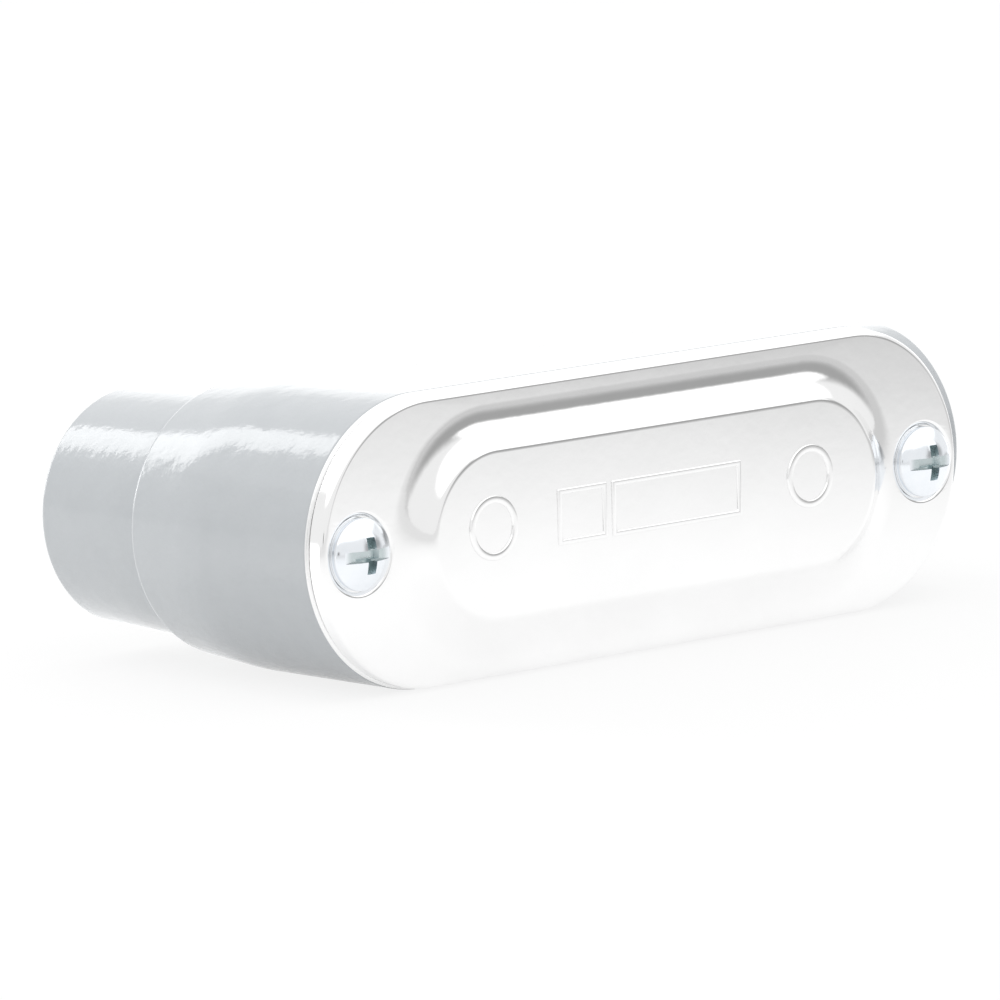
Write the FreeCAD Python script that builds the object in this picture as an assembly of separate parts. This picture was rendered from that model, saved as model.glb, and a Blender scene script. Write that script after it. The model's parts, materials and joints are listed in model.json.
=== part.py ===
import FreeCAD, Part
import math
import os

from FreeCAD import Vector

os.makedirs("parts", exist_ok=True)

# Driving sizes in millimetres.
# The fitting lies on its side: its run is along X, its cover faces -Y,
# its back hub points to +Y, its end hub to +X, and Z is up.
# Lengths along Y are measured from the cover's flat flange.
# The hubs' thread sets the radii, and the radii set the cover's width.

# Hubs: threaded bore behind a bushing, both alike
thread_bore_radius = 12.0
thread_length = 17.5
thread_entry = 0.9
throat_radius = 10.25
throat_lip = 1.5
hub_wall = 3.75
hub_taper = 0.65
hub_length = 20.3
hub_edge = 0.8
root_corner = 0.5

# Casting: trough along the run, with a barrel and a shoulder before each hub
shoulder_step = 1.55
shoulder_edge = 0.8
barrel_draft = 1.05
barrel_length = 15.9
barrel_straight = 4.0
back_shoulder_drop = 3.3
rim_draft = 0.35
trough_straight = 0.3
wall = 2.85
floor_thickness = 3.0
cavity_corner = 1.6
end_slope_run = 7.6
end_shoulder_inset = 13.5
back_hub_outset = 1.0
boss_radius = 4.6
boss_depth = 13.0
boss_edge = 1.2

# Cover: one piece of drawn sheet with a turned rim and a raised panel
cover_length = 115.0
cover_inset = 0.35
sheet = 1.0
skirt_depth = 2.3
rim_bend_radius = 0.9
panel_end_inset = 17.7
panel_side_inset = 7.9
panel_height = 2.5
panel_wall_run = 3.0
panel_top_edge = 0.4
panel_foot_radius = 3.5
panel_foot_land = 0.8
dimple_depth = 0.4
dimple_wall_run = 0.45
cover_hole_radius = 2.7

# Gasket: flat ring inside the cover's turned rim
gasket_thickness = 1.7
gasket_play = 0.3
gasket_band = 4.2
gasket_web = 1.6

# Cover screws: pan heads with a cross recess
screw_inset = 6.5
screw_thread_radius = 2.4
screw_length = 7.6
screw_tip_chamfer = 0.6
head_radius = 4.75
head_height = 2.9
head_side = 1.0
head_play = 0.2
crown_steps = 2
recess_reach = 2.7
recess_width = 1.3
recess_depth = 1.7
recess_taper = 0.45
recess_angles = (0, 90)
tapped_hole_play = 0.05
tapped_hole_end_gap = 0.5

# Sizes that follow from them
hub_mouth_radius = thread_bore_radius + hub_wall
hub_root_radius = hub_mouth_radius + hub_taper
shoulder_radius = hub_root_radius + shoulder_step
body_radius = shoulder_radius + barrel_draft
cavity_radius = body_radius - wall
rim_radius = body_radius + rim_draft
cover_radius = rim_radius - cover_inset
cover_end_x = cover_length / 2 - cover_radius
rim_plane = sheet + gasket_thickness
run_depth = rim_plane + trough_straight + body_radius
back_hub_x = -cover_end_x - back_hub_outset
back_step = run_depth + body_radius - back_shoulder_drop
back_hub_mouth = back_step + hub_length
end_step = cover_length / 2 - end_shoulder_inset
end_hub_mouth = end_step + hub_length
body_end_x = cover_length / 2 - end_slope_run - body_radius
screw_x = cover_length / 2 - screw_inset
dimple_floor_radius = head_radius + head_play
dimple_radius = dimple_floor_radius + dimple_wall_run
dimple_under_radius = dimple_floor_radius - sheet / 2
panel_slope = math.atan2(panel_height, panel_wall_run)

# Origin: middle of the footprint, on the surface that the fitting lies on
left_x = min(-cover_end_x - rim_radius, back_hub_x - body_radius)
front_y = min(-panel_height, dimple_depth - head_height)
to_origin = Vector(-(left_x + end_hub_mouth) / 2, -(front_y + back_hub_mouth) / 2, rim_radius)


def stadium(left, right, radius, y):
    """Closed outline in the plane at y: two straight sides and a half circle at each end."""
    corners = [Vector(x, y, z) for x, z in (
        (left, radius), (right, radius), (right, -radius), (left, -radius))]
    right_tip = Vector(right + radius, y, 0)
    left_tip = Vector(left - radius, y, 0)
    return Part.Wire([
        Part.makeLine(corners[0], corners[1]),
        Part.Arc(corners[1], right_tip, corners[2]).toShape(),
        Part.makeLine(corners[2], corners[3]),
        Part.Arc(corners[3], left_tip, corners[0]).toShape(),
    ])


def plate(left, right, radius, y_from, y_to):
    """Stadium plate between two planes."""
    return Part.Face(stadium(left, right, radius, y_from)).extrude(Vector(0, y_to - y_from, 0))


def pin(x, radius, y_from, y_to):
    """Round pin or drill along Y at x."""
    return Part.makeCylinder(radius, y_to - y_from, Vector(x, y_from, 0), Vector(0, 1, 0))


def edges_at(solid, y):
    """Edges of a solid that lie wholly in the plane at y."""
    near = 1e-4
    return [e for e in solid.Edges if abs(e.BoundBox.YMin - y) < near and abs(e.BoundBox.YMax - y) < near]


def chain(points):
    """Straight edges in the XY plane through points given as (radius, y)."""
    spots = [Vector(r, y, 0) for r, y in points]
    return [Part.makeLine(a, b) for a, b in zip(spots, spots[1:])]


def arc(start, middle, end):
    """Arc in the XY plane through three points given as (radius, y)."""
    return Part.Arc(*[Vector(r, y, 0) for r, y in (start, middle, end)]).toShape()


def turned(outline):
    """Solid turned about the Y axis from a closed outline in the XY plane."""
    return Part.Face(Part.Wire(outline)).revolve(Vector(0, 0, 0), Vector(0, 1, 0), 360)


def carried_round(half_section, end_x):
    """Solid whose half section, an outline of (radius, y), is carried round a stadium."""
    upper = Part.Face(Part.Wire(half_section))
    upper.rotate(Vector(0, 0, 0), Vector(0, 1, 0), -90)
    lower = upper.copy()
    lower.rotate(Vector(0, 0, 0), Vector(0, 1, 0), 180)
    solids = []
    for face, x in ((upper, end_x), (lower, -end_x)):
        at_end = face.copy()
        at_end.translate(Vector(x, 0, 0))
        solids.append(at_end.revolve(Vector(x, 0, 0), Vector(0, 1, 0), 180))
        solids.append(at_end.extrude(Vector(-2 * x, 0, 0)))
    return solids[0].fuse(solids[1:]).removeSplitter()


# Cover

def panel_outside():
    """Raised panel as a solid block, bevelled along its top edge and rounded at its foot."""
    along, down = math.cos(panel_slope), math.sin(panel_slope)
    foot_cut = panel_foot_radius * math.tan(panel_slope / 2)
    top_r = cover_radius - panel_side_inset
    foot_r = top_r + panel_wall_run
    top_end = (top_r + panel_top_edge * along, panel_top_edge * down - panel_height)
    foot_start = (foot_r - foot_cut * along, -foot_cut * down)
    foot_end = (foot_r + foot_cut, 0)
    foot_middle = (foot_end[0] - panel_foot_radius * math.sin(panel_slope / 2),
                   -panel_foot_radius * (1 - math.cos(panel_slope / 2)))
    land_r = foot_end[0] + panel_foot_land
    section = chain([(0, -panel_height), (top_r - panel_top_edge, -panel_height), top_end, foot_start])
    section.append(arc(foot_start, foot_middle, foot_end))
    section += chain([foot_end, (land_r, 0), (land_r, skirt_depth), (0, skirt_depth), (0, -panel_height)])
    return carried_round(section, cover_length / 2 - panel_end_inset - top_r)


def panel_inside():
    """Hollow behind the raised panel, one sheet thickness inside it."""
    inset = sheet * math.tan(panel_slope / 2)
    panel_r = cover_radius - panel_side_inset
    top_r = panel_r - inset
    foot_r = top_r + panel_wall_run
    section = chain([(0, sheet - panel_height), (top_r, sheet - panel_height), (foot_r, sheet),
                     (foot_r, skirt_depth), (0, skirt_depth), (0, sheet - panel_height)])
    return carried_round(section, cover_length / 2 - panel_end_inset - panel_r)


def rim_outside():
    """Flange and turned rim as a solid block, with the bend along its edge in two flats."""
    off_corner = rim_bend_radius * (1 - math.sqrt(0.5))
    section = chain([(0, 0), (cover_radius - rim_bend_radius, 0), (cover_radius - off_corner, off_corner),
                     (cover_radius, rim_bend_radius), (cover_radius, skirt_depth), (0, skirt_depth), (0, 0)])
    return carried_round(section, cover_end_x)


def make_cover():
    outside = rim_outside().fuse(panel_outside()).removeSplitter()
    rim_inside = plate(-cover_end_x, cover_end_x, cover_radius - sheet, sheet, skirt_depth)
    shell = outside.cut(rim_inside.fuse(panel_inside()).removeSplitter())
    for x in (-screw_x, screw_x):
        under = pin(x, dimple_under_radius, 0, sheet + dimple_depth)
        seat = Part.makeCone(dimple_radius, dimple_floor_radius, dimple_depth,
                             Vector(x, 0, 0), Vector(0, 1, 0))
        shell = shell.fuse(under).cut(seat).cut(pin(x, cover_hole_radius, 0, skirt_depth))
    return shell.removeSplitter()


# Gasket

def make_gasket():
    outer_r = cover_radius - sheet - gasket_play
    inner_r = outer_r - gasket_band
    hole_r = dimple_under_radius + gasket_play
    inner_end = screw_x - hole_r - gasket_web - inner_r
    ring = plate(-cover_end_x, cover_end_x, outer_r, sheet, rim_plane)
    ring = ring.cut(plate(-inner_end, inner_end, inner_r, sheet, rim_plane))
    for x in (-screw_x, screw_x):
        ring = ring.cut(pin(x, hole_r, sheet, rim_plane))
    return ring


# Screws

def recess_arm(angle):
    """One tapered arm pair of the cross recess, narrower towards its floor."""
    half = recess_width / 2
    floor_half = half * recess_taper
    floor_reach = recess_reach * recess_taper
    arm = Part.makeWedge(-recess_reach, -head_height, -half, -floor_half, -floor_reach,
                         recess_reach, recess_depth - head_height, half, floor_half, floor_reach)
    arm.rotate(Vector(0, 0, 0), Vector(0, 1, 0), angle)
    return arm


def crown():
    """Points of the head's round crown from its side to its middle, as (radius, y)."""
    rise = head_height - head_side
    radius = (head_radius ** 2 + rise ** 2) / (2 * rise)
    opening = math.asin(head_radius / radius)
    angles = [opening * (1 - step / crown_steps) for step in range(crown_steps + 1)]
    return [(radius * math.sin(a), radius * (1 - math.cos(a)) - head_height) for a in angles]


def make_screw(x):
    """Screw with its head's seat at y = 0, then set in the dimple at x."""
    head = turned(chain([(0, 0), (head_radius, 0)] + crown() + [(0, 0)]))
    shank = turned(chain([
        (0, 0), (screw_thread_radius, 0), (screw_thread_radius, screw_length - screw_tip_chamfer),
        (screw_thread_radius - screw_tip_chamfer, screw_length), (0, screw_length), (0, 0)]))
    screw = head.fuse(shank).removeSplitter()
    for angle in recess_angles:
        screw = screw.cut(recess_arm(angle))
    screw.translate(Vector(x, dimple_depth, 0))
    return screw


# Casting

def hub_outside(start, step, mouth):
    """Round end of the casting about the Y axis: barrel, shoulder step and tapered hub."""
    taper_start = step - barrel_length + barrel_straight
    edge_r = shoulder_radius + barrel_draft * shoulder_edge / (step - taper_start)
    return turned(chain([
        (0, start), (body_radius, start), (body_radius, taper_start), (edge_r, step - shoulder_edge),
        (shoulder_radius - shoulder_edge, step),
        (hub_root_radius + root_corner, step), (hub_root_radius, step + root_corner),
        (hub_mouth_radius, mouth - hub_edge), (hub_mouth_radius - hub_edge, mouth), (0, mouth), (0, start)]))


def hub_passage(floor, mouth):
    """Way through a hub about the Y axis: bushing lip, throat, and bore for the thread."""
    bore_start = mouth - thread_length
    return turned(chain([
        (0, floor), (throat_radius + throat_lip, floor), (throat_radius, floor + throat_lip),
        (throat_radius, bore_start), (thread_bore_radius, bore_start),
        (thread_bore_radius, mouth - thread_entry), (thread_bore_radius + thread_entry, mouth),
        (0, mouth), (0, floor)]))


def round_core(start, floor):
    """Core of the casting's hollow about the Y axis, with a bevelled floor edge."""
    return turned(chain([(0, start), (cavity_radius, start), (cavity_radius, floor - cavity_corner),
                         (cavity_radius - cavity_corner, floor), (0, floor), (0, start)]))


def along_run(solid):
    """Turn a solid made about the Y axis onto the axis of the run."""
    solid.rotate(Vector(0, 0, 0), Vector(0, 0, 1), -90)
    solid.translate(Vector(0, run_depth, 0))
    return solid


def on_back_axis(solid):
    """Set a solid made about the Y axis onto the axis of the back hub."""
    solid.translate(Vector(back_hub_x, 0, 0))
    return solid


def make_body():
    back_floor = back_step - floor_thickness
    end_floor = end_step - floor_thickness
    hood = Part.makeLoft([
        stadium(-cover_end_x, cover_end_x, rim_radius, rim_plane),
        stadium(back_hub_x, body_end_x, body_radius, run_depth),
    ], True, True)
    back = on_back_axis(hub_outside(run_depth, back_step, back_hub_mouth))
    straight = Part.makeCylinder(body_radius, end_step - barrel_length - back_hub_x,
                                 Vector(back_hub_x, run_depth, 0), Vector(1, 0, 0))
    end = along_run(hub_outside(end_step - barrel_length, end_step, end_hub_mouth))
    outside = hood.fuse([back, straight, end]).removeSplitter()

    trough = plate(back_hub_x, end_floor - cavity_radius, cavity_radius, rim_plane, run_depth)
    back_core = on_back_axis(round_core(run_depth, back_floor))
    run_core = along_run(round_core(back_hub_x, end_floor))
    body = outside.cut(trough.fuse([back_core, run_core]).removeSplitter())

    boss = plate(-cover_end_x - rim_radius, -screw_x, boss_radius, rim_plane, rim_plane + boss_depth)
    boss = boss.makeChamfer(boss_edge, edges_at(boss, rim_plane + boss_depth))
    body = body.fuse(boss.common(outside)).removeSplitter()

    body = body.cut(on_back_axis(hub_passage(back_floor, back_hub_mouth)))
    body = body.cut(along_run(hub_passage(end_floor, end_hub_mouth)))
    hole_end = dimple_depth + screw_length + tapped_hole_end_gap
    for x in (-screw_x, screw_x):
        body = body.cut(pin(x, screw_thread_radius + tapped_hole_play, rim_plane, hole_end))
    return body


pieces = {
    "conduit_body": make_body(),
    "cover_gasket": make_gasket(),
    "cover": make_cover(),
    "cover_screw_left": make_screw(-screw_x),
    "cover_screw_right": make_screw(screw_x),
}

for name, shape in pieces.items():
    shape.translate(to_origin)
    shape.exportStep("parts/" + name + ".step")
    box = shape.BoundBox
    print("%-18s valid %s, solids %d, volume %.0f mm3, box %.1f x %.1f x %.1f" % (
        name, shape.isValid(), len(shape.Solids), shape.Volume, box.XLength, box.YLength, box.ZLength))
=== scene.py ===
import json
import math

import bmesh
import bpy
from mathutils import Matrix, Vector

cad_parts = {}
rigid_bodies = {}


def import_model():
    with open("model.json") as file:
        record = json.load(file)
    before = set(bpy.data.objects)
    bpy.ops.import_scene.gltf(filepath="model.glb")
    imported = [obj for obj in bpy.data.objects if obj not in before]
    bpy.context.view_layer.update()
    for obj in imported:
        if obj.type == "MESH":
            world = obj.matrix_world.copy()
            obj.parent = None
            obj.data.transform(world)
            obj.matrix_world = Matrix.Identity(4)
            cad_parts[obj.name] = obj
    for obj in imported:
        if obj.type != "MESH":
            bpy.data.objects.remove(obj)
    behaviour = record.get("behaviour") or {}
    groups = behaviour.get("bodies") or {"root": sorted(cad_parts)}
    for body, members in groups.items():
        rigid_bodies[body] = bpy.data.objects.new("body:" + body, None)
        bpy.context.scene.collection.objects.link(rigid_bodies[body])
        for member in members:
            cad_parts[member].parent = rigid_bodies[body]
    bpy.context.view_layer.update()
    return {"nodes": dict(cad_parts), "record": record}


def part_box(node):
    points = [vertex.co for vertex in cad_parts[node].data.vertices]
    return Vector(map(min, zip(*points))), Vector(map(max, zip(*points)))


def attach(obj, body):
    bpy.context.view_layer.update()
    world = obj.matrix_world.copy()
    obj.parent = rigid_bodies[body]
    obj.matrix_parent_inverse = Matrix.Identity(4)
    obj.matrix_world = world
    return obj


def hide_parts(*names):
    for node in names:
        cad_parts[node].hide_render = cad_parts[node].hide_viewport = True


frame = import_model()

MM = 0.001
UP = Vector((0, 0, 1))
ALONG = Vector((1, 0, 0))
BACK = Vector((0, 1, 0))
TO_ALONG = (math.radians(-90), "Y")
TO_BACK = (math.radians(90), "X")

# Sizes taken from the frame, in metres
hubs = {mount["name"]: mount for mount in frame["record"]["mounts"]}
body_low, body_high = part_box("conduit_body")
cover_low, cover_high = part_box("cover")
screw_boxes = {side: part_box("cover_screw_" + side) for side in ("left", "right")}
screw_places = {side: (low.x + high.x) / 2 for side, (low, high) in screw_boxes.items()}
thread_radius = hubs["end_hub"]["dims"]["r_mm"] * MM
run_y = hubs["end_hub"]["pos_m"][1]
axis_z = hubs["end_hub"]["pos_m"][2]
back_x = hubs["back_hub"]["pos_m"][0]
end_mouth_x = body_high.x
back_mouth_y = body_high.y
rim_y = body_low.y
rim_radius = (body_high.z - body_low.z) / 2
cover_radius = (cover_high.z - cover_low.z) / 2
cover_left = cover_low.x + cover_radius
cover_right = cover_high.x - cover_radius

# Casting
rim_overhang = 0.35 * MM
barrel_taper = 1.05 * MM
shoulder_step = 1.55 * MM
hub_taper = 0.65 * MM
body_radius = rim_radius - rim_overhang
shoulder_radius = body_radius - barrel_taper
hub_root_radius = shoulder_radius - shoulder_step
hub_mouth_radius = hub_root_radius - hub_taper
hub_length = 20.3 * MM
end_step = end_mouth_x - hub_length
back_step = back_mouth_y - hub_length
barrel_length = 15.9 * MM
barrel_straight = 4.0 * MM
barrel_bend = 60 * MM
shoulder_edge = 1.1 * MM
rim_edge = 0.7 * MM
root_corner = 0.4 * MM
hub_edge = 0.8 * MM
end_inset = 7.6 * MM
body_end = cover_high.x - end_inset - body_radius
wall = 2.85 * MM
cavity_radius = body_radius - wall
floor_thickness = 3.0 * MM
cavity_corner = 2.0 * MM
throat_radius = 10.25 * MM
throat_lip = 1.5 * MM
thread_entry = 0.9 * MM
thread_length = 17.5 * MM
thread_depth = 1.1 * MM
thread_pitch = 1.814 * MM
thread_root = 0.3 * MM
thread_flank = math.radians(30)
bore_radius = thread_radius + thread_depth
boss_radius = 4.6 * MM
boss_depth = 13.0 * MM
boss_edge = 1.2 * MM

# Cover
sheet = 1.0 * MM
panel_height = 2.5 * MM
mark_height = 0.25 * MM
mark_depth = 3 * mark_height
mark_edge = 0.22 * MM
mark_lift = 1.0 * MM
mark_centre_z = axis_z + mark_lift
ring_places = (-32.65 * MM, 24.61 * MM)
ring_radius = 4.25 * MM
ring_band = 1.0 * MM
frame_band = 0.75 * MM
frame_height = 7.4 * MM
frame_spans = ((-21.3 * MM, -12.5 * MM), (-11.6 * MM, 11.9 * MM))
rim_bend = 0.9 * MM
skirt_edge = 0.2 * MM
skirt_drop = 0.25 * MM
skirt_y = cover_high.y + skirt_drop
panel_border = 7.9 * MM
panel_end_border = 17.7 * MM
panel_radius = cover_radius - panel_border
panel_left = cover_low.x + panel_end_border + panel_radius
panel_right = cover_high.x - panel_end_border - panel_radius
panel_wall_run = 3.0 * MM
panel_top_bend = 1.5 * MM
panel_foot_bend = 8.5 * MM
flange_y = cover_low.y + panel_height
dimple_depth = 0.4 * MM
dimple_floor_radius = 4.95 * MM
dimple_under_radius = 4.45 * MM
dimple_wall_run = 0.45 * MM
cover_hole_radius = 2.7 * MM

# Screws
head_radius = 4.75 * MM
head_height = 2.9 * MM
head_side = 1.0 * MM
head_edge = 0.5 * MM
head_rise = head_height - head_side
dome_radius = (head_radius ** 2 + head_rise ** 2) / (2 * head_rise)
seat_edge = 0.12 * MM
shank_radius = 2.4 * MM
shank_length = 7.6 * MM
shank_tip = 0.6 * MM
shank_thread = 0.35 * MM
shank_pitch = 0.8 * MM
shank_thread_start = 1.2 * MM
slot_width = 1.5 * MM
slot_depth = 1.15 * MM
arm_width = 2.1 * MM
arm_reach = 3.6 * MM
arm_depth = 1.9 * MM
arm_taper = 0.45
tapped_play = 0.05 * MM
tapped_spare = 0.5 * MM
tapped_radius = shank_radius + tapped_play
tapped_depth = flange_y + dimple_depth + shank_length + tapped_spare - rim_y

# Gap left between surfaces that would touch, and how far a cutter goes past a face
clear = 0.01 * MM
past = 1.0 * MM

# Points nearer than MERGED become one, and places nearer than NEAR count as the same
MERGED = 0.002 * MM
NEAR = 0.01 * MM

# Steps in a full turn
FINE = 192
COARSE = 96
THREAD = 72

# Steps in a corner's arc, and in the dome of a screw head
ARC = 6
MARK_ARC = 3
PANEL_ARC = 8
DOME = 24

# Edges sharper than this stay sharp in the shading
CREASE = math.radians(30)


# Modelling

def rounded(corners, steps=ARC):
    """Outline through (radius, along, bend) corners, with an arc of that radius at each bend."""
    points = []
    for i, (r, a, bend) in enumerate(corners):
        here = Vector((r, a))
        if not bend:
            points.append(here)
            continue
        into = (Vector(corners[i - 1][:2]) - here).normalized()
        out = (Vector(corners[i + 1][:2]) - here).normalized()
        half = into.angle(out) / 2
        middle = here + (into + out).normalized() * (bend / math.sin(half))
        first = here + into * (bend / math.tan(half)) - middle
        sweep = (math.pi - 2 * half) * (1 if into.x * out.y - into.y * out.x < 0 else -1)
        for step in range(steps + 1):
            points.append(middle + Matrix.Rotation(sweep * step / steps, 2) @ first)
    return points


def begin(name):
    """A new empty object in edit mode, picked by its points."""
    bpy.ops.object.select_all(action="DESELECT")
    bpy.ops.mesh.primitive_plane_add(size=MM, enter_editmode=True)
    bpy.ops.mesh.select_mode(type="VERT")
    bpy.ops.mesh.delete(type="VERT")
    bpy.context.object.name = name


def draw(spots):
    """Draw a chain of edges through the spots and leave it selected."""
    bpy.ops.mesh.select_all(action="DESELECT")
    bpy.ops.mesh.primitive_plane_add(size=MM, location=spots[0])
    bpy.ops.mesh.merge(type="CENTER")
    for start, end in zip(spots, spots[1:]):
        bpy.ops.mesh.extrude_region_move(TRANSFORM_OT_translate={"value": end - start})
    if len(spots) > 1:
        bpy.ops.mesh.select_linked()


def turn(outline, centre, axis, steps):
    """Draw an outline of (radius, along) points and turn it about an axis."""
    draw([centre + UP * r + axis * a for r, a in outline])
    bpy.ops.mesh.spin(steps=steps, angle=2 * math.pi, center=centre, axis=axis)


def carry(outline, left, right, steps=FINE):
    """Draw an outline of (radius, y) points and carry it round a stadium about two end centres."""
    draw([axis_point(right, y) + UP * r for r, y in outline])
    shift = ALONG * (right - left)
    bpy.ops.mesh.spin(steps=steps // 2, angle=math.pi, center=axis_point(right, 0), axis=-BACK)
    bpy.ops.mesh.extrude_region_move(TRANSFORM_OT_translate={"value": -shift})
    bpy.ops.mesh.spin(steps=steps // 2, angle=math.pi, center=axis_point(left, 0), axis=-BACK)
    bpy.ops.mesh.extrude_region_move(TRANSFORM_OT_translate={"value": shift})


def merge():
    """Merge the points of the mesh being edited that share a place."""
    bpy.ops.mesh.select_all(action="SELECT")
    bpy.ops.mesh.remove_doubles(threshold=MERGED)


def close_up():
    """Merge the seams, fill open rings, point the faces outwards and leave edit mode."""
    merge()
    bpy.ops.mesh.select_all(action="DESELECT")
    bpy.ops.mesh.select_non_manifold(extend=False)
    bpy.ops.mesh.edge_face_add()
    bpy.ops.mesh.select_all(action="SELECT")
    bpy.ops.mesh.normals_make_consistent(inside=False)
    bpy.ops.object.mode_set(mode="OBJECT")
    return bpy.context.object


def pick(test):
    """Select the points of the mesh being edited whose places pass a test."""
    bpy.ops.mesh.select_all(action="DESELECT")
    data = bpy.context.object.data
    mesh = bmesh.from_edit_mesh(data)
    for v in mesh.verts:
        v.select = test(v.co)
    mesh.select_flush_mode()
    bmesh.update_edit_mesh(data)


def axis_point(x, y):
    """Point at the height of the hubs' axes."""
    return Vector((x, y, axis_z))


def lathe(name, outline, centre, axis, steps=FINE):
    """Solid turned about an axis from an outline of (radius, along) points."""
    begin(name)
    turn(outline, centre, axis, steps)
    return close_up()


def near_ring(co, left, right, radius, y):
    """Whether a point lies on the stadium ring of that radius in the plane at y."""
    away = math.hypot(co.x - max(left, min(right, co.x)), co.z - axis_z)
    return abs(away - radius) < NEAR and abs(co.y - y) < NEAR


def bridge(first, second):
    """Join two stadium rings of the mesh being edited, each (left x, right x, radius, y)."""
    pick(lambda co: near_ring(co, *first) or near_ring(co, *second))
    bpy.ops.mesh.bridge_edge_loops()


def combine(piece, other, operation):
    """Join, or cut away, another solid, which is used up."""
    change = piece.modifiers.new("combine", "BOOLEAN")
    change.operation = operation
    change.solver = "EXACT"
    change.object = other
    bpy.ops.object.select_all(action="DESELECT")
    bpy.context.view_layer.objects.active = piece
    bpy.ops.object.modifier_apply(modifier=change.name)
    bpy.data.objects.remove(other)
    return piece


def round_off(piece, width, segments):
    """Round the sharp edges of a solid."""
    edge = piece.modifiers.new("edge", "BEVEL")
    edge.width = width
    edge.segments = segments
    edge.limit_method = "ANGLE"
    bpy.context.view_layer.objects.active = piece
    bpy.ops.object.modifier_apply(modifier=edge.name)


def smooth(piece):
    """Smooth shading apart from sharp edges, with the flat faces kept flat."""
    bpy.ops.object.select_all(action="DESELECT")
    piece.select_set(True)
    bpy.context.view_layer.objects.active = piece
    bpy.ops.object.shade_smooth_by_angle(angle=CREASE)
    even = piece.modifiers.new("even", "WEIGHTED_NORMAL")
    even.keep_sharp = True
    even.weight = 100
    bpy.ops.object.modifier_apply(modifier=even.name)
    return piece


def helix(name, base, crest, pitch, length, start, tilt):
    """Closed helical ridge from base radius to crest radius, tilted from Z and moved to its start."""
    begin(name)
    half = abs(crest - base) * math.tan(thread_flank)
    draw([Vector((base, 0, -half)), Vector((crest, 0, 0)), Vector((base, 0, half))])
    bpy.ops.mesh.edge_face_add()
    bpy.ops.mesh.delete(type="ONLY_FACE")
    bpy.ops.object.mode_set(mode="OBJECT")
    piece = bpy.context.object
    wind = piece.modifiers.new("wind", "SCREW")
    wind.screw_offset = pitch
    wind.iterations = math.floor(length / pitch)
    wind.steps = wind.render_steps = THREAD
    bpy.ops.object.modifier_apply(modifier=wind.name)
    bpy.ops.object.mode_set(mode="EDIT")
    bpy.ops.mesh.select_all(action="SELECT")
    bpy.ops.transform.rotate(value=tilt[0], orient_axis=tilt[1], center_override=(0, 0, 0))
    bpy.ops.transform.translate(value=start)
    return close_up()


def hub_thread(mouth, axis, tilt):
    """Ridge of a hub's pipe thread, cut back by a cone just behind the chamfer at the mouth."""
    ridge = helix("hub_thread", bore_radius + thread_root, thread_radius, thread_pitch, thread_length,
                  mouth - axis * thread_length, tilt)
    tip = thread_radius - thread_root
    top = -thread_entry - thread_depth - thread_root - 5 * clear
    reach = bore_radius + thread_entry + past
    end = top + reach - thread_radius + thread_root
    cone = [(0, top), (tip, top), (reach, end), (0, end)]
    return combine(ridge, lathe("cone", cone, mouth, axis), "DIFFERENCE")


# Casting

def branch(name, front, left, right, behind, outline, steps=FINE):
    """Solid from an outline carried round a stadium, back to a second ring and on to a turned outline."""
    begin(name)
    carry(front, left, right, steps)
    carry([behind[2:]], *behind[:2], steps)
    merge()
    bridge((left, right, *front[-1]), behind)
    turn(outline, axis_point(back_x, 0), BACK, steps)
    return close_up()


def hub_outside(radius, start, step, mouth):
    """Outline of a barrel, its shoulder and the tapered hub behind it."""
    return rounded([
        (radius, start, 0), (radius, step - barrel_length + barrel_straight, barrel_bend),
        (shoulder_radius, step, shoulder_edge), (hub_root_radius, step, root_corner),
        (hub_mouth_radius, mouth, hub_edge), (0, mouth, 0)])


def hub_inside(radius, start, floor, mouth):
    """Outline of a core, the bushing's lip and throat, and the bore that carries the thread."""
    bore_start = mouth - thread_length
    return rounded([
        (radius, start, 0), (radius, floor, cavity_corner), (throat_radius, floor, throat_lip),
        (throat_radius, bore_start, 0), (bore_radius, bore_start, 0), (bore_radius, mouth - thread_entry, 0),
        (bore_radius + thread_entry, mouth, 0), (bore_radius + thread_entry, mouth + past, 0),
        (0, mouth + past, 0)])


def screw_boss():
    """Boss in the hollow for the left cover screw, out to the casting's end wall."""
    end_y = rim_y + boss_depth
    outline = rounded([(boss_radius, rim_y - 2 * past, 0), (boss_radius, end_y, boss_edge),
                       (boss_radius / 2, end_y, 0)])
    begin("boss")
    carry(outline, cover_left - rim_radius, screw_places["left"], COARSE)
    return close_up()


def casting_outside():
    """The casting as a solid block, with its rim, both barrels and both hubs."""
    rim = rounded([(rim_radius - 2 * rim_edge, rim_y, 0), (rim_radius, rim_y, rim_edge),
                   (body_radius, run_y, 0)])
    block = branch("conduit_body_casting", rim[:-1], cover_left, cover_right,
                   (back_x, body_end, body_radius, run_y),
                   hub_outside(body_radius, run_y, back_step, back_mouth_y))
    start = back_x + clear
    run = [Vector((0, start))] + hub_outside(body_radius - clear, start, end_step, end_mouth_x)
    return combine(block, lathe("run", run, axis_point(0, run_y), ALONG), "UNION")


def casting_hollow():
    """The space inside the casting, through both hubs, less the boss at the left."""
    end_floor = end_step - floor_thickness
    back_floor = back_step - floor_thickness
    hollow = branch("hollow", [(cavity_radius, rim_y - past)], back_x, end_floor - cavity_radius,
                    (back_x, end_floor - cavity_radius, cavity_radius, run_y),
                    hub_inside(cavity_radius, run_y, back_floor, back_mouth_y))
    start = back_x + clear
    run = [Vector((0, start))] + hub_inside(cavity_radius - clear, start, end_floor, end_mouth_x)
    combine(hollow, lathe("run_hollow", run, axis_point(0, run_y), ALONG), "UNION")
    return combine(hollow, screw_boss(), "DIFFERENCE")


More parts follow.
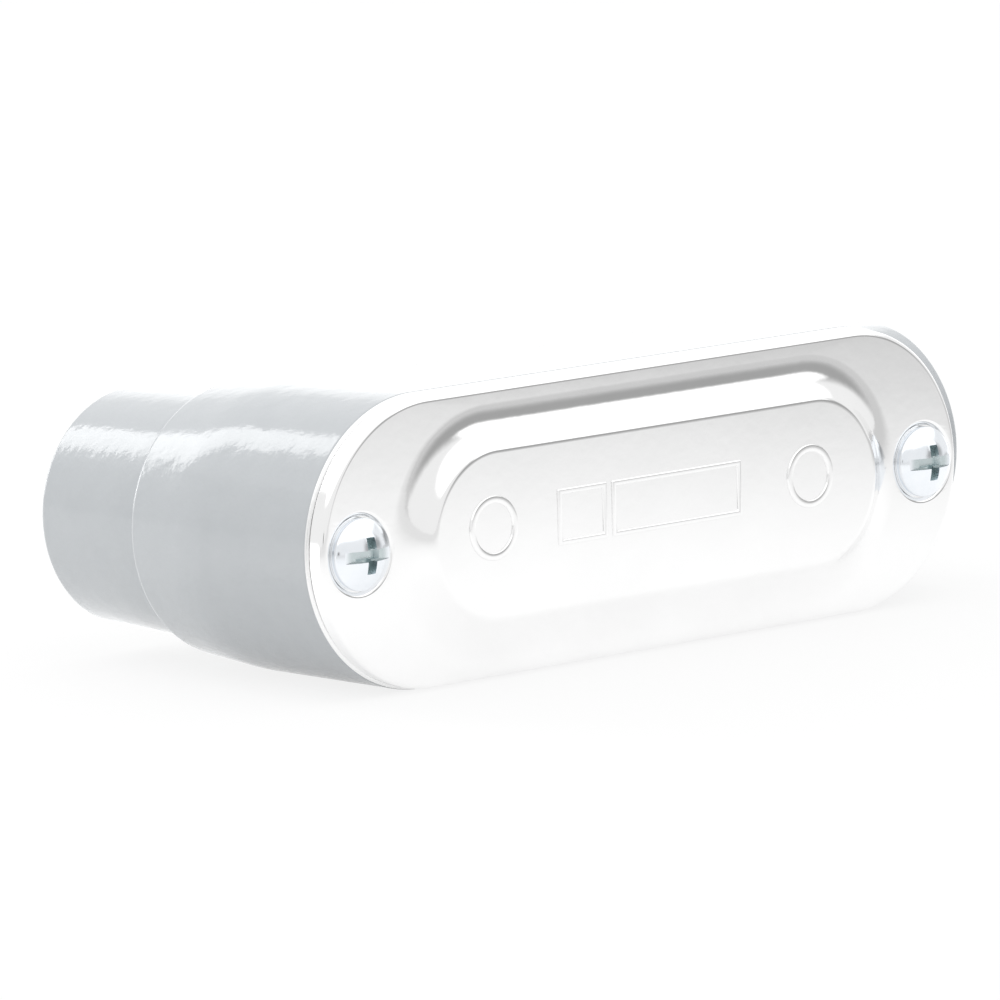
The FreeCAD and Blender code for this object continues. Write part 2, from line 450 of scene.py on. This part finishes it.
def casting():
    """The hollow casting, with its tapped holes and threaded hubs."""
    piece = combine(casting_outside(), casting_hollow(), "DIFFERENCE")
    hole = [(0, -past), (tapped_radius, -past), (tapped_radius, tapped_depth), (0, tapped_depth)]
    for x in screw_places.values():
        combine(piece, lathe("hole", hole, axis_point(x, rim_y), BACK, COARSE), "DIFFERENCE")
    combine(piece, hub_thread(axis_point(end_mouth_x, run_y), ALONG, TO_ALONG), "UNION")
    combine(piece, hub_thread(axis_point(back_x, back_mouth_y), BACK, TO_BACK), "UNION")
    return smooth(piece)


# Cover

def ring_mark(x):
    """Low raised ring on the panel."""
    top = cover_low.y
    deep = top + mark_depth
    inner = ring_radius - ring_band
    outline = rounded([(ring_radius, deep, 0), (ring_radius, top, mark_edge), (inner, top, mark_edge),
                       (inner, deep, 0), (ring_radius, deep, 0)], MARK_ARC)
    begin("ring_mark")
    turn(outline, Vector((x, 0, mark_centre_z)), BACK, COARSE)
    return close_up()


def frame_mark(left, right):
    """Low raised frame on the panel."""
    low = mark_centre_z - frame_height / 2
    high = mark_centre_z + frame_height / 2
    middle = cover_low.y + mark_depth / 2
    begin("frame_mark")
    draw([Vector((x, middle, z)) for x, z in ((left, low), (right, low), (right, high), (left, high))])
    bpy.ops.mesh.edge_face_add()
    bpy.ops.mesh.inset(thickness=frame_band)
    bpy.ops.mesh.delete(type="FACE")
    bpy.ops.object.mode_set(mode="OBJECT")
    piece = bpy.context.object
    thicken = piece.modifiers.new("thicken", "SOLIDIFY")
    thicken.thickness = mark_depth
    thicken.offset = 0
    bpy.ops.object.modifier_apply(modifier=thicken.name)
    round_off(piece, mark_edge, MARK_ARC)
    return piece


def pressed_sheet():
    """The sheet with its turned rim and raised panel, closed all round."""
    height = panel_height - mark_height
    slope = math.atan2(height, panel_wall_run)
    inset = sheet * math.tan(slope / 2)
    foot_radius = panel_radius + panel_wall_run
    under = flange_y + sheet
    rim = rounded([
        (cover_radius - sheet, under, 0), (cover_radius - sheet, skirt_y, skirt_edge),
        (cover_radius, skirt_y, skirt_edge), (cover_radius, flange_y, rim_bend),
        (foot_radius, flange_y, 0)])[:-1]
    panel = rounded([
        (cover_radius, flange_y, 0), (foot_radius, flange_y, panel_foot_bend),
        (panel_radius, flange_y - height, panel_top_bend), (0, flange_y - height, 0)], PANEL_ARC)[1:-1]
    inner = [(panel_radius - inset, under - height), (foot_radius - inset, under)]

    begin("cover_sheet")
    carry(rim, cover_left, cover_right)
    carry(panel, panel_left, panel_right)
    carry(inner, panel_left, panel_right)
    merge()
    bridge((cover_left, cover_right, *rim[-1]), (panel_left, panel_right, *panel[0]))
    bridge((cover_left, cover_right, *rim[0]), (panel_left, panel_right, *inner[-1]))
    return close_up()


def press_seat(piece, x):
    """Press a shallow seat into the cover for a screw head, and pierce it."""
    floor = dimple_floor_radius
    seat = rounded([
        (0, -past, 0), (floor + 3 * dimple_wall_run, -past, 0), (floor + 2 * dimple_wall_run, -clear, 0),
        (floor + dimple_wall_run, 0, 2 * dimple_wall_run), (floor, dimple_depth, dimple_wall_run / 3),
        (cover_hole_radius, dimple_depth, 0), (cover_hole_radius, 3 * sheet, 0), (0, 3 * sheet, 0)])
    swell = [(0, sheet / 2), (dimple_under_radius, sheet / 2), (dimple_under_radius, sheet + dimple_depth),
             (0, sheet + dimple_depth)]
    combine(piece, lathe("swell", swell, axis_point(x, flange_y), BACK, COARSE), "UNION")
    combine(piece, lathe("seat", seat, axis_point(x, flange_y), BACK), "DIFFERENCE")


def cover_sheet():
    """The cover with its blank marks and screw seats."""
    piece = pressed_sheet()
    for x in ring_places:
        combine(piece, ring_mark(x), "UNION")
    for span in frame_spans:
        combine(piece, frame_mark(*span), "UNION")
    for x in screw_places.values():
        press_seat(piece, x)
    return smooth(piece)


# Screws

def slot_cutter(centre):
    """Block for the slot across a screw head."""
    bpy.ops.object.select_all(action="DESELECT")
    bpy.ops.mesh.primitive_cube_add(size=1, enter_editmode=True)
    bpy.ops.transform.resize(value=(3 * head_radius, 2 * slot_depth, slot_width))
    bpy.ops.transform.translate(value=centre - BACK * head_height)
    return close_up()


def arm_cutter(centre, upright):
    """Tapered block for one pair of arms of a screw's cross recess."""
    bpy.ops.object.select_all(action="DESELECT")
    bpy.ops.mesh.primitive_cube_add(size=1, enter_editmode=True)
    size_x, size_z = (arm_width, 2 * arm_reach) if upright else (2 * arm_reach, arm_width)
    bpy.ops.transform.resize(value=(size_x, 2 * arm_depth, size_z))
    pick(lambda co: co.y > 0)
    bpy.ops.transform.resize(value=(arm_taper, 1, arm_taper), center_override=(0, 0, 0))
    bpy.ops.mesh.select_all(action="SELECT")
    bpy.ops.transform.translate(value=centre - BACK * head_height)
    return close_up()


def head_outline():
    """Outline of a screw head's dome and side, and of its seat in to the shank."""
    opening = math.asin(head_radius / dome_radius)
    dome = [(dome_radius * math.sin(opening * t / DOME),
             dome_radius * (1 - math.cos(opening * t / DOME)) - head_height) for t in range(DOME - 1)]
    edge = rounded([(*dome[-1], 0), (head_radius, -head_side, head_edge), (head_radius, 0, seat_edge),
                    (shank_radius, 0, 0)])
    return dome + edge[1:]


def shank_outline(core_radius):
    """Outline of the shank's plain neck, the core of its thread and its tip."""
    return rounded([
        (shank_radius, shank_thread_start, 0), (core_radius, shank_thread_start + shank_thread, 0),
        (core_radius, shank_length - shank_tip, 0), (core_radius - shank_tip, shank_length, 0),
        (0, shank_length, 0)])


def screw(side):
    """Pan-head cover screw with a slot and a cross recess."""
    centre = axis_point(screw_places[side], flange_y + dimple_depth)
    core_radius = shank_radius - shank_thread
    outline = head_outline() + shank_outline(core_radius)
    piece = lathe("cover_screw_" + side + "_turned", outline, centre, BACK)
    ridge = helix("ridge", core_radius - shank_thread / 2, shank_radius, shank_pitch,
                  shank_length - shank_thread_start - shank_tip - 2 * shank_pitch,
                  centre + BACK * (shank_thread_start + shank_pitch), TO_BACK)
    combine(piece, ridge, "UNION")
    for cutter in (slot_cutter(centre), arm_cutter(centre, False), arm_cutter(centre, True)):
        combine(piece, cutter, "DIFFERENCE")
    return smooth(piece)


# Materials

# Colours
PAINT_DARK = (0.43, 0.45, 0.467, 1)
PAINT_LIGHT = (0.46, 0.48, 0.496, 1)
BARE_METAL = (0.9, 0.9, 0.9, 1)
SHEET_DARK = (0.88, 0.88, 0.88, 1)
SHEET_LIGHT = (0.93, 0.93, 0.93, 1)
ZINC_DARK = (0.80, 0.84, 0.88, 1)
ZINC_LIGHT = (0.90, 0.92, 0.95, 1)
# Painted shade for the recess of a screw head
ZINC_PAINTED_SHADE = (0.60, 0.67, 0.68, 1)
RUBBER_DARK = (0.02, 0.02, 0.02, 1)
RUBBER_LIGHT = (0.05, 0.05, 0.05, 1)
PAPER = (0.8, 0.8, 0.8, 1)
FELT = (0.03, 0.03, 0.03, 1)

# Roughness: the least of each finish, and what its pattern or its bare or sunk places add
paint_rough = 0.08
paint_skin_rough = 0.08
paint_bare_rough = 0.15
sheet_rough = 0.06
sheet_haze_rough = 0.05
zinc_rough = 0.08
zinc_mottle_rough = 0.1
zinc_recess_rough = 0.15
rubber_rough = 0.7
rubber_speck_rough = 0.2
paper_rough = 0.9

# Strength and depth of the bumps, and the share of the fine grain in the paint's
paint_bump = 0.5
paint_grain = 0.3
sheet_bump = 0.05
zinc_bump = 0.1
bump_depth = 0.2 * MM

# How far back from the rim's face the casting is bare, and over what length the paint begins
bare_edge = 0.38 * MM
bare_fade = 0.04 * MM

# Where the recess of a screw gets painted shade, a darker colour, and turns rougher: depth under the dome,
# and distance from the middle
shade_depths = (0.08 * MM, 0.7 * MM)
shade_radii = (4.2 * MM, 3.6 * MM)


class Wire:
    """A node socket that plain arithmetic can be written with."""

    def __init__(self, tree, socket):
        self.tree = tree
        self.socket = socket

    def maths(self, operation, *values):
        return node(self.tree, "ShaderNodeMath", {"operation": operation}, values)

    def sibling(self, name):
        """Wire of another output of the same node."""
        return Wire(self.tree, self.socket.node.outputs[name])

    def __add__(self, other):
        return self.maths("ADD", self, other)

    def __radd__(self, other):
        return self.maths("ADD", other, self)

    def __sub__(self, other):
        return self.maths("SUBTRACT", self, other)

    def __rsub__(self, other):
        return self.maths("SUBTRACT", other, self)

    def __mul__(self, other):
        return self.maths("MULTIPLY", self, other)

    def __rmul__(self, other):
        return self.maths("MULTIPLY", other, self)


def node(tree, kind, settings, sockets, output=0):
    """Add a node with its settings and sockets, and give the wire of one output."""
    made = tree.nodes.new(kind)
    for name, value in settings.items():
        setattr(made, name, value)
    pairs = sockets.items() if isinstance(sockets, dict) else enumerate(sockets)
    for key, value in pairs:
        if isinstance(value, Wire):
            tree.links.new(value.socket, made.inputs[key])
        else:
            made.inputs[key].default_value = value
    return Wire(tree, made.outputs[output])


def link(tree, wire, shader, name):
    tree.links.new(wire.socket, shader.inputs[name])


def material(name):
    """A new material, its node tree and its surface shader."""
    made = bpy.data.materials.new(name)
    made.use_nodes = True
    return made, made.node_tree, made.node_tree.nodes["Principled BSDF"]


def place(tree):
    return node(tree, "ShaderNodeTexCoord", {}, {}, "Object")


def part_of(tree, vector, letter):
    """One of a vector's three numbers."""
    return node(tree, "ShaderNodeSeparateXYZ", {}, {0: vector}, letter)


def vector_maths(tree, operation, values, output=0):
    return node(tree, "ShaderNodeVectorMath", {"operation": operation}, values, output)


def noise(tree, where, scale, detail):
    return node(tree, "ShaderNodeTexNoise", {}, {"Vector": where, "Scale": scale, "Detail": detail}, "Fac")


def bump(tree, height, strength):
    return node(tree, "ShaderNodeBump", {}, {
        "Height": height, "Strength": strength, "Distance": bump_depth}, "Normal")


def mix(tree, amount, first, second):
    """A colour between two others."""
    return node(tree, "ShaderNodeMix", {"data_type": "RGBA"}, {0: amount, 6: first, 7: second}, 2)


def ease(tree, value, span, low=0.0, high=1.0):
    """A number that eases from low to high as the value goes from one end of the span to the other."""
    return node(tree, "ShaderNodeMapRange", {"interpolation_type": "SMOOTHSTEP"}, {
        "Value": value, "From Min": span[0], "From Max": span[1], "To Min": low, "To Max": high}, "Result")


def grey_paint():
    """Grey enamel, with the rim's face and edge machined back to bare metal."""
    made, tree, shader = material("glossy grey enamel on casting")
    where = place(tree)
    skin = noise(tree, where, scale=260, detail=3)
    grain = noise(tree, where, scale=900, detail=2)
    bare = node(tree, "ShaderNodeMapRange", {}, {
        "Value": part_of(tree, where, "Y"),
        "From Min": rim_y + bare_edge + bare_fade, "From Max": rim_y + bare_edge}, "Result")
    paint = mix(tree, skin, PAINT_DARK, PAINT_LIGHT)
    link(tree, mix(tree, bare, paint, BARE_METAL), shader, "Base Color")
    link(tree, bare, shader, "Metallic")
    link(tree, paint_rough + skin * paint_skin_rough + bare * paint_bare_rough, shader, "Roughness")
    link(tree, bump(tree, skin + grain * paint_grain, paint_bump), shader, "Normal")
    return made


def bright_sheet():
    """Drawn and polished sheet with a faint haze."""
    made, tree, shader = material("satin polished aluminium sheet")
    where = place(tree)
    haze = noise(tree, where, scale=120, detail=3)
    grain = noise(tree, where, scale=500, detail=2)
    shader.inputs["Metallic"].default_value = 1.0
    link(tree, mix(tree, haze, SHEET_DARK, SHEET_LIGHT), shader, "Base Color")
    link(tree, sheet_rough + haze * sheet_haze_rough, shader, "Roughness")
    link(tree, bump(tree, grain, sheet_bump), shader, "Normal")
    return made


def recess_shade_mask(tree, where, centre_x):
    """Mask of painted shade: 1 in the slot and the cross recess of a screw's head, and 0 on its dome."""
    top = (centre_x, flange_y + dimple_depth - head_height, axis_z)
    offset = vector_maths(tree, "SUBTRACT", {0: where, 1: top})
    across = vector_maths(tree, "MULTIPLY", {0: offset, 1: (1, 0, 1)})
    radius = vector_maths(tree, "LENGTH", {0: across}, "Value")
    below = part_of(tree, offset, "Y") - radius * radius * (0.5 / dome_radius)
    return ease(tree, below, shade_depths) * ease(tree, radius, shade_radii)


def bright_zinc(centre_x):
    """Bright zinc with a faint mottle, with painted shade and more roughness in the recess of the screw at
    that place.
    """
    made, tree, shader = material("bright zinc plating")
    where = place(tree)
    mottle = noise(tree, where, scale=700, detail=3)
    painted_shade = recess_shade_mask(tree, where, centre_x)
    shader.inputs["Metallic"].default_value = 1.0
    zinc = mix(tree, mottle, ZINC_DARK, ZINC_LIGHT)
    # The darker colour in the recess is painted shade, not a colour of the zinc
    link(tree, mix(tree, painted_shade, zinc, ZINC_PAINTED_SHADE), shader, "Base Color")
    link(tree, zinc_rough + mottle * zinc_mottle_rough + painted_shade * zinc_recess_rough, shader, "Roughness")
    link(tree, bump(tree, mottle, zinc_bump), shader, "Normal")
    return made


def black_rubber():
    """Matt black sheet rubber with a fine speck."""
    made, tree, shader = material("black gasket rubber")
    speck = noise(tree, place(tree), scale=1500, detail=2)
    link(tree, mix(tree, speck, RUBBER_DARK, RUBBER_LIGHT), shader, "Base Color")
    link(tree, rubber_rough + speck * rubber_speck_rough, shader, "Roughness")
    return made


def dress(piece, finish, cad_node):
    """Finish a new piece and put it in the place of its CAD node."""
    piece.data.materials.clear()
    piece.data.materials.append(finish)
    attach(piece, "root")
    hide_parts(cad_node)


bpy.context.scene.cursor.location = (0, 0, 0)
body = casting()
cover = cover_sheet()
screws = {side: screw(side) for side in screw_boxes}

dress(body, grey_paint(), "conduit_body")
dress(cover, bright_sheet(), "cover")
for side, piece in screws.items():
    dress(piece, bright_zinc(screw_places[side]), "cover_screw_" + side)
gasket = frame["nodes"]["cover_gasket"]
gasket.data.materials.clear()
gasket.data.materials.append(black_rubber())


# Camera, at the photo's viewing angle

camera_yaw = math.radians(42.7)
camera_dip = math.radians(8.28)
camera_roll = math.radians(-1.67)
camera_distance = 1.3761
aim_left = 19.45 * MM
aim_up = 0.885 * MM
focal_length = 378
sensor_width = 36


def add_camera():
    """Camera turned from +Y towards +X, dipped and rolled, and aimed near the middle of the cover."""
    level = math.cos(camera_dip)
    forward = Vector((math.sin(camera_yaw) * level, math.cos(camera_yaw) * level, -math.sin(camera_dip)))
    level_right = Vector((math.cos(camera_yaw), -math.sin(camera_yaw), 0))
    level_up = level_right.cross(forward)
    right = math.cos(camera_roll) * level_right + math.sin(camera_roll) * level_up
    upward = math.cos(camera_roll) * level_up - math.sin(camera_roll) * level_right
    middle = Vector(((cover_left + cover_right) / 2, flange_y, axis_z))
    aim = middle - right * aim_left + upward * aim_up
    camera = bpy.data.objects.new("camera", bpy.data.cameras.new("camera"))
    camera.matrix_world = Matrix.Translation(aim - forward * camera_distance) @ Matrix(
        (right, upward, -forward)).transposed().to_4x4()
    camera.data.lens = focal_length
    camera.data.sensor_width = sensor_width
    camera.data.clip_start = 0.01
    camera.data.clip_end = 50
    bpy.context.scene.collection.objects.link(camera)
    bpy.context.scene.camera = camera


# Studio

softbox_place = Vector((-0.192, 0.737, 0.45))
softbox_target = Vector((-0.05, 0, 0.45))
softbox_width = 0.242
softbox_height = 0.8
softbox_power = 2.4

# Sky: its brightness low down and overhead, and the heights between which that changes
sky_low = 0.95
sky_above = 1.3
above_heights = (0.42, 0.48)

# Its darker side: where that lies, the cosines and heights between which it fades,
# what it takes off, and how far it pulls the bright sky down
dark_way = (0.70, -0.71, 0)
dark_cosines = (0.86, 0.95)
dark_heights = (-0.15, 0.12)
dark_loss = 0.55
dark_pull = 0.19

# Its bright backdrop, behind the casting
backdrop_way = (0.68, 0.73, 0)
backdrop_cosines = (0.8, 0.93)
backdrop_gain = 0.8

# Floor as glossy surfaces see it: a pool of light round the object, dimmer at the right, brighter behind
floor_size = 6
pool_reach = (0.05, 0.3)
pool_near = 1.22
pool_far = 0.72
dim_x = (0.12, 0.32)
dim_loss = 0.3
behind_y = (-0.02, 0.04)
behind_gain = 0.8

# Share of the glow in the paper, as the camera and as glossy surfaces see it
camera_share = 0.85
glossy_share = 0.6

card_place = (-1.05, -1.13, 0.09)
card_width = 0.2
card_height = 0.16


def add_softbox():
    """Tall soft lamp behind the casting, level with its target."""
    light = bpy.data.lights.new("softbox", "AREA")
    light.shape = "RECTANGLE"
    light.size = softbox_width
    light.size_y = softbox_height
    light.energy = softbox_power
    lamp = bpy.data.objects.new("softbox", light)
    lamp.location = softbox_place
    lamp.rotation_euler = (softbox_target - softbox_place).to_track_quat("-Z", "Y").to_euler()
    bpy.context.scene.collection.objects.link(lamp)


def add_sky():
    """World that is white to the camera, and lights the object in soft zones."""
    world = bpy.data.worlds.new("studio")
    world.use_nodes = True
    bpy.context.scene.world = world
    tree = world.node_tree
    direction = place(tree)
    height = part_of(tree, direction, "Z")
    dark_side = vector_maths(tree, "DOT_PRODUCT", {0: direction, 1: dark_way}, "Value")
    back_side = vector_maths(tree, "DOT_PRODUCT", {0: direction, 1: backdrop_way}, "Value")
    dark = ease(tree, dark_side, dark_cosines)
    backdrop = ease(tree, back_side, backdrop_cosines)
    above = ease(tree, height + dark * dark_pull, above_heights)
    low_zone = sky_low - dark * ease(tree, height, dark_heights) * dark_loss + backdrop * backdrop_gain
    lit = low_zone + above * (sky_above - low_zone)
    seen = node(tree, "ShaderNodeLightPath", {}, {}, "Is Camera Ray")
    link(tree, lit + seen * (1.0 - lit), tree.nodes["Background"], "Color")


def white_paper():
    """Paper that is nearly white to the camera, and a soft pool of light to glossy surfaces."""
    made, tree, shader = material("white paper floor")
    shader.inputs["Base Color"].default_value = PAPER
    shader.inputs["Roughness"].default_value = paper_rough
    seen = node(tree, "ShaderNodeLightPath", {}, {}, "Is Camera Ray")
    glossy = seen.sibling("Is Glossy Ray")
    where = place(tree)
    far = vector_maths(tree, "LENGTH", {0: where}, "Value")
    pool = ease(tree, far, pool_reach, pool_near, pool_far)
    dim = ease(tree, part_of(tree, where, "X"), dim_x, 0.0, dim_loss)
    behind = ease(tree, part_of(tree, where, "Y"), behind_y, 0.0, behind_gain)
    glow = node(tree, "ShaderNodeEmission", {}, {"Color": seen + glossy * (pool - dim + behind)}, "Emission")
    surface = node(tree, "ShaderNodeMixShader", {}, {
        0: seen * camera_share + glossy * glossy_share, 1: Wire(tree, shader.outputs[0]), 2: glow})
    link(tree, surface, tree.nodes["Material Output"], "Surface")
    return made


def dark_felt():
    made, tree, shader = material("dark felt card")
    shader.inputs["Base Color"].default_value = FELT
    shader.inputs["Roughness"].default_value = 1.0
    return made


def add_floor():
    bpy.ops.object.select_all(action="DESELECT")
    bpy.ops.mesh.primitive_plane_add(size=floor_size)
    floor = bpy.context.object
    floor.name = "floor"
    floor.data.materials.append(white_paper())


def add_card():
    """Small dark card behind the camera, which the surfaces that face the camera reflect."""
    bpy.ops.object.select_all(action="DESELECT")
    upright = (math.radians(90), 0, -camera_yaw)
    bpy.ops.mesh.primitive_plane_add(size=1, location=card_place, rotation=upright)
    card = bpy.context.object
    card.name = "dark_card"
    card.scale = (card_width, card_height, 1)
    bpy.ops.object.transform_apply(location=True, rotation=True, scale=True)
    card.data.materials.append(dark_felt())


add_camera()
add_softbox()
add_sky()
add_floor()
add_card()
bpy.context.scene.view_settings.view_transform = "Standard"
